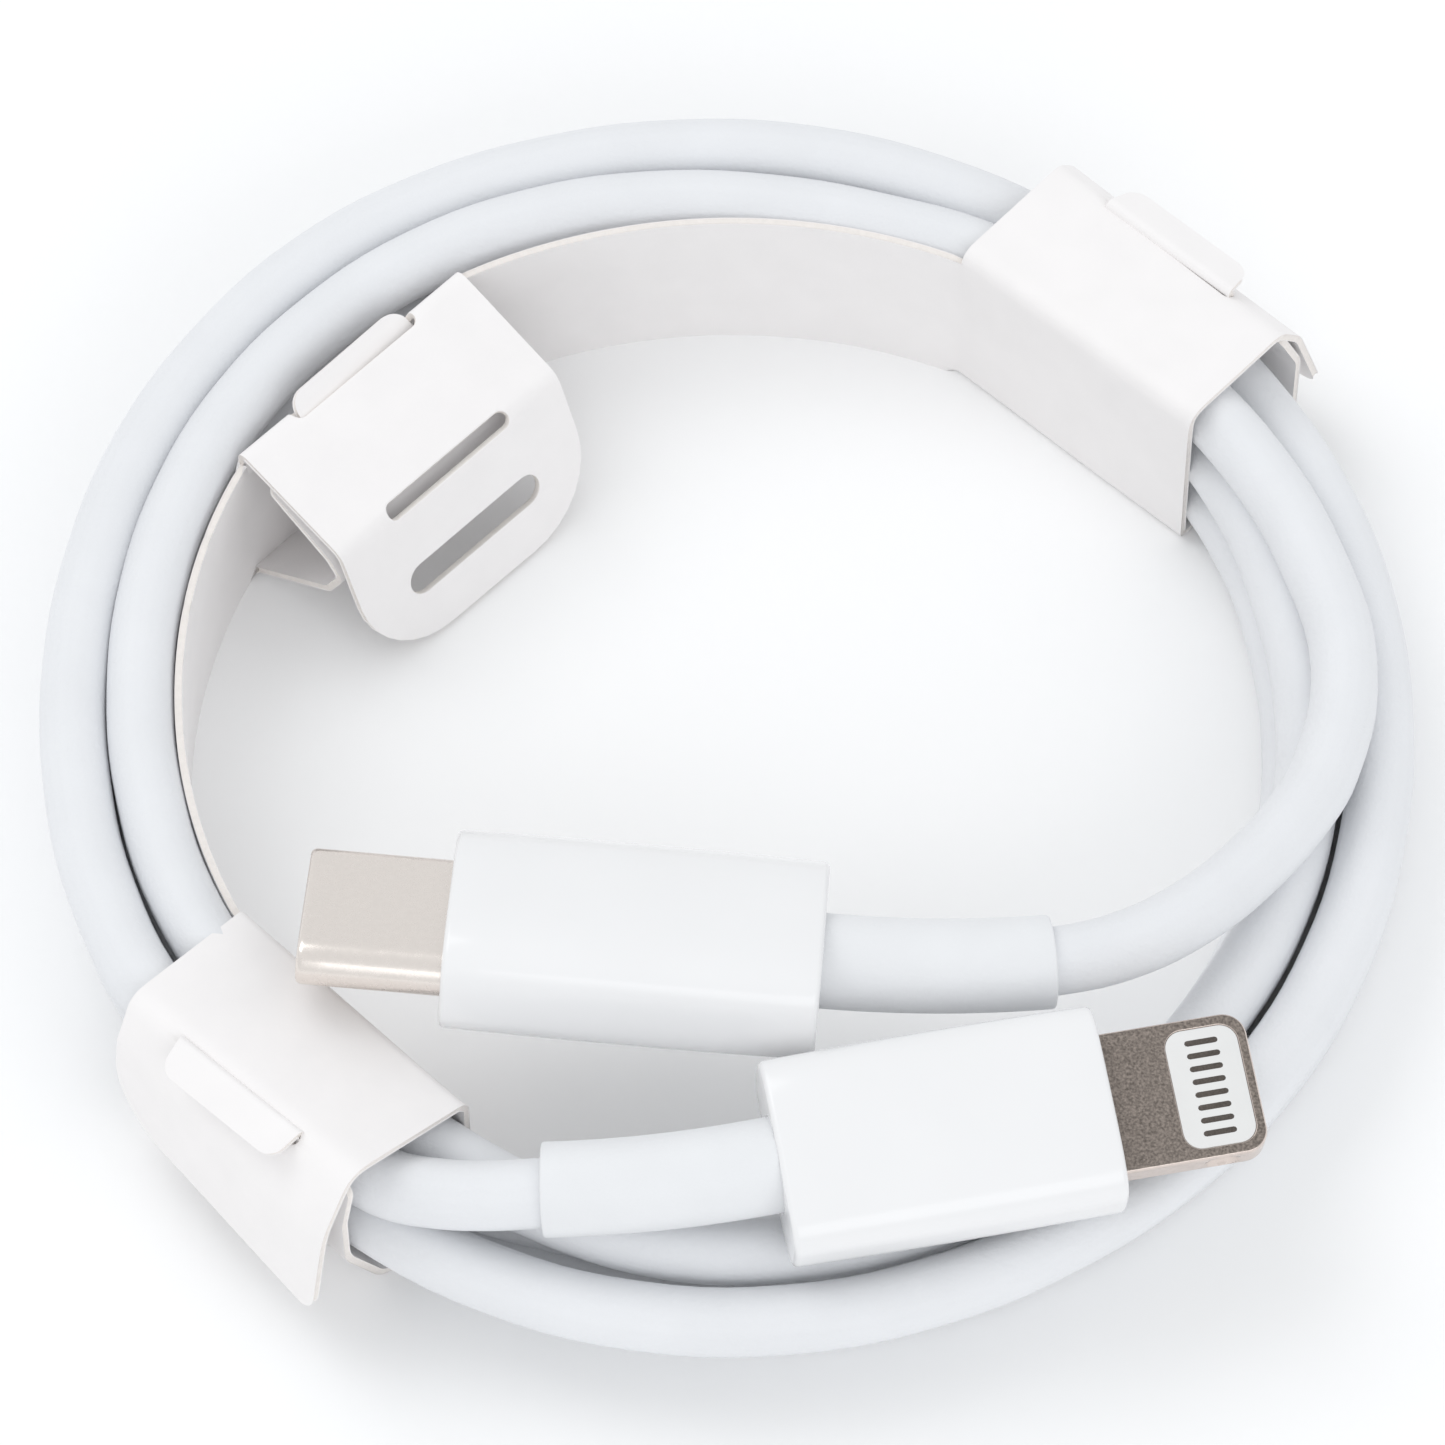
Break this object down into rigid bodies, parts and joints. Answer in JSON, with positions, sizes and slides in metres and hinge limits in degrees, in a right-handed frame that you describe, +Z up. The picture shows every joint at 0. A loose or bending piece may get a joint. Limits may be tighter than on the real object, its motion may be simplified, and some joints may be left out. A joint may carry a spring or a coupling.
{
  "type": "phone charging cable",
  "caption": "White phone charging cable coiled in a folded card holder, with an oval metal charger plug on one end and a flat contact tab plug on the other.",
  "frame": {"origin": "on the surface that the object lies on, at the centre of its box, which is the axis of the coil", "axes": "+Z up along the coil's axis; -Y towards the two plugs; +X to the right, the way the phone plug's tab points"},
  "size_m": [0.0658, 0.0658, 0.0148],
  "materials": {
    "cable": "matte",
    "relief": "matte",
    "boot": "gloss",
    "nickel": "satin",
    "dark_steel": "satin",
    "insulator": "matte",
    "insert": "satin",
    "contact_metal": "polished",
    "contact_dark": "satin",
    "board": "satin",
    "chip": "matte",
    "can": "satin",
    "mould": "matte",
    "wire": "satin",
    "card": "matte"
  },
  "bodies": {
    "root": {"cable_coil": "cable", "charger_tail": "cable", "phone_tail": "cable", "charger_plug_strain_relief": "relief", "phone_plug_strain_relief": "relief", "charger_plug_boot": "boot", "phone_plug_boot": "boot", "charger_plug_shell": "nickel", "charger_plug_latches": "nickel", "charger_plug_ground_springs": "nickel", "phone_plug_frame": "dark_steel", "charger_plug_insulator": "insulator", "phone_plug_insert": "insert", "charger_plug_contacts": "contact_metal", "phone_plug_contacts": "contact_dark", "charger_plug_board": "board", "phone_plug_board": "board", "charger_plug_chips": "chip", "phone_plug_chips": "chip", "charger_plug_inner_can": "can", "phone_plug_inner_can": "can", "charger_plug_crimp": "can", "phone_plug_crimp": "can", "charger_plug_inner_mould": "mould", "phone_plug_inner_mould": "mould", "charger_plug_wires": "wire", "phone_plug_wires": "wire", "holder_strap": "card", "wrap_a_lower_wing": "card", "wrap_b_lower_wing": "card", "wrap_b_top_panel": "card", "wrap_c_lower_wing": "card", "wrap_c_top_panel": "card"},
    "flap_a": {"wrap_a_top_flap": "card"},
    "tab_a": {"wrap_a_end_tab": "card"},
    "tab_b": {"wrap_b_end_tab": "card"},
    "tab_c": {"wrap_c_end_tab": "card"}
  },
  "joints": [
    {"name": "flap_a_hinge", "type": "hinge", "parent": "root", "child": "flap_a", "pos_m": [-0.01806, 0.01684, 0.01018], "axis": [-0.682, -0.7314, 0], "range_deg": [0, 85], "stiffness_Nm_per_rad": 0.0002},
    {"name": "tab_a_hinge", "type": "hinge", "parent": "flap_a", "child": "tab_a", "pos_m": [-0.01335, 0.01245, 0.00773], "axis": [-0.682, -0.7314, 0], "range_deg": [0, 49], "stiffness_Nm_per_rad": 0.0002},
    {"name": "tab_b_hinge", "type": "hinge", "parent": "root", "child": "tab_b", "pos_m": [0.02148, 0.02345, 0.01018], "axis": [0.7373, -0.6756, 0], "range_deg": [0, 30], "stiffness_Nm_per_rad": 0.0002},
    {"name": "tab_c_hinge", "type": "hinge", "parent": "root", "child": "tab_c", "pos_m": [-0.02176, -0.02334, 0.0109], "axis": [-0.7314, 0.682, 0], "range_deg": [0, 20], "stiffness_Nm_per_rad": 0.0002}
  ]
}
